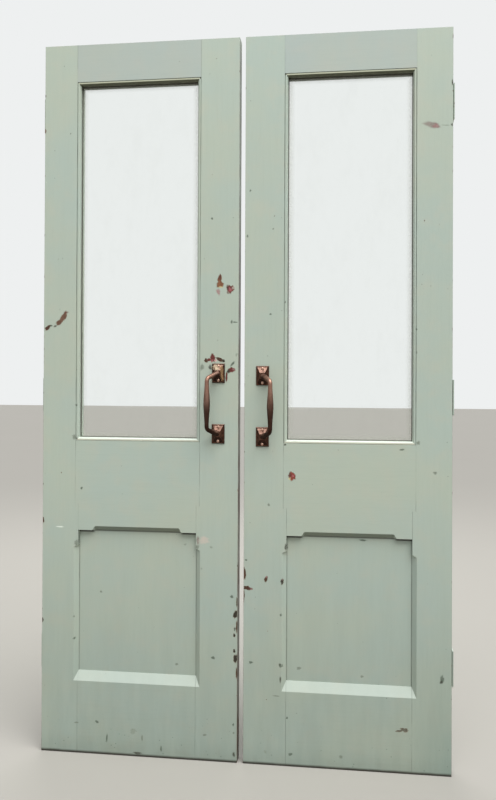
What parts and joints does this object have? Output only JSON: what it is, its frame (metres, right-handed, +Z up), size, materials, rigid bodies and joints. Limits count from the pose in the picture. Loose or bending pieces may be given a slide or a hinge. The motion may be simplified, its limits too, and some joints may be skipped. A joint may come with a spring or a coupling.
{
  "type": "french doors",
  "caption": "Half-glazed timber french door leaves with stop-chamfered lower panels, cranked bronze pull handles and butt hinges, in aged sage green paint.",
  "frame": {"origin": "middle of the pair at its bottom edge, half-way through its whole depth with handles and hinge knuckles", "axes": "+X to the right seen from the front, +Y to the back, the side the leaves open to, +Z up"},
  "size_m": [1.227, 0.111, 2.134],
  "materials": {
    "painted_timber": "aged sage green satin paint, chipped to red-brown and bare timber",
    "window_glass": "clear old window glass",
    "tarnished_bronze": "brown tarnished bronze, rubbed bright where it is held",
    "hinge_steel": "dull dark steel with light rust"
  },
  "bodies": {
    "frame_side_hinges": {"left_top_hinge_frame_flap": "hinge_steel", "left_top_hinge_pin": "hinge_steel", "left_middle_hinge_frame_flap": "hinge_steel", "left_middle_hinge_pin": "hinge_steel", "left_bottom_hinge_frame_flap": "hinge_steel", "left_bottom_hinge_pin": "hinge_steel", "right_top_hinge_frame_flap": "hinge_steel", "right_top_hinge_pin": "hinge_steel", "right_middle_hinge_frame_flap": "hinge_steel", "right_middle_hinge_pin": "hinge_steel", "right_bottom_hinge_frame_flap": "hinge_steel", "right_bottom_hinge_pin": "hinge_steel"},
    "left_leaf": {"left_hinge_stile": "painted_timber", "left_meeting_stile": "painted_timber", "left_top_rail": "painted_timber", "left_lock_rail": "painted_timber", "left_bottom_rail": "painted_timber", "left_panel": "painted_timber", "left_bottom_bead": "painted_timber", "left_top_bead": "painted_timber", "left_meeting_side_bead": "painted_timber", "left_hinge_side_bead": "painted_timber", "left_tenon_wedges": "painted_timber", "left_glass": "window_glass", "left_pull_handle": "tarnished_bronze", "left_handle_screws": "tarnished_bronze", "left_hinge_screws": "hinge_steel", "left_top_hinge_leaf_flap": "hinge_steel", "left_middle_hinge_leaf_flap": "hinge_steel", "left_bottom_hinge_leaf_flap": "hinge_steel"},
    "right_leaf": {"right_hinge_stile": "painted_timber", "right_meeting_stile": "painted_timber", "right_top_rail": "painted_timber", "right_lock_rail": "painted_timber", "right_bottom_rail": "painted_timber", "right_panel": "painted_timber", "right_bottom_bead": "painted_timber", "right_top_bead": "painted_timber", "right_meeting_side_bead": "painted_timber", "right_hinge_side_bead": "painted_timber", "right_tenon_wedges": "painted_timber", "right_glass": "window_glass", "right_pull_handle": "tarnished_bronze", "right_handle_screws": "tarnished_bronze", "right_hinge_screws": "hinge_steel", "right_top_hinge_leaf_flap": "hinge_steel", "right_middle_hinge_leaf_flap": "hinge_steel", "right_bottom_hinge_leaf_flap": "hinge_steel"}
  },
  "joints": [
    {"name": "left_leaf_swing", "type": "hinge", "parent": "frame_side_hinges", "child": "left_leaf", "pos_m": [-0.6075, 0.04955, 0], "axis": [0, 0, 1], "range_deg": [0, 170]},
    {"name": "right_leaf_swing", "type": "hinge", "parent": "frame_side_hinges", "child": "right_leaf", "pos_m": [0.6075, 0.04955, 0], "axis": [0, 0, -1], "range_deg": [0, 170]}
  ]
}
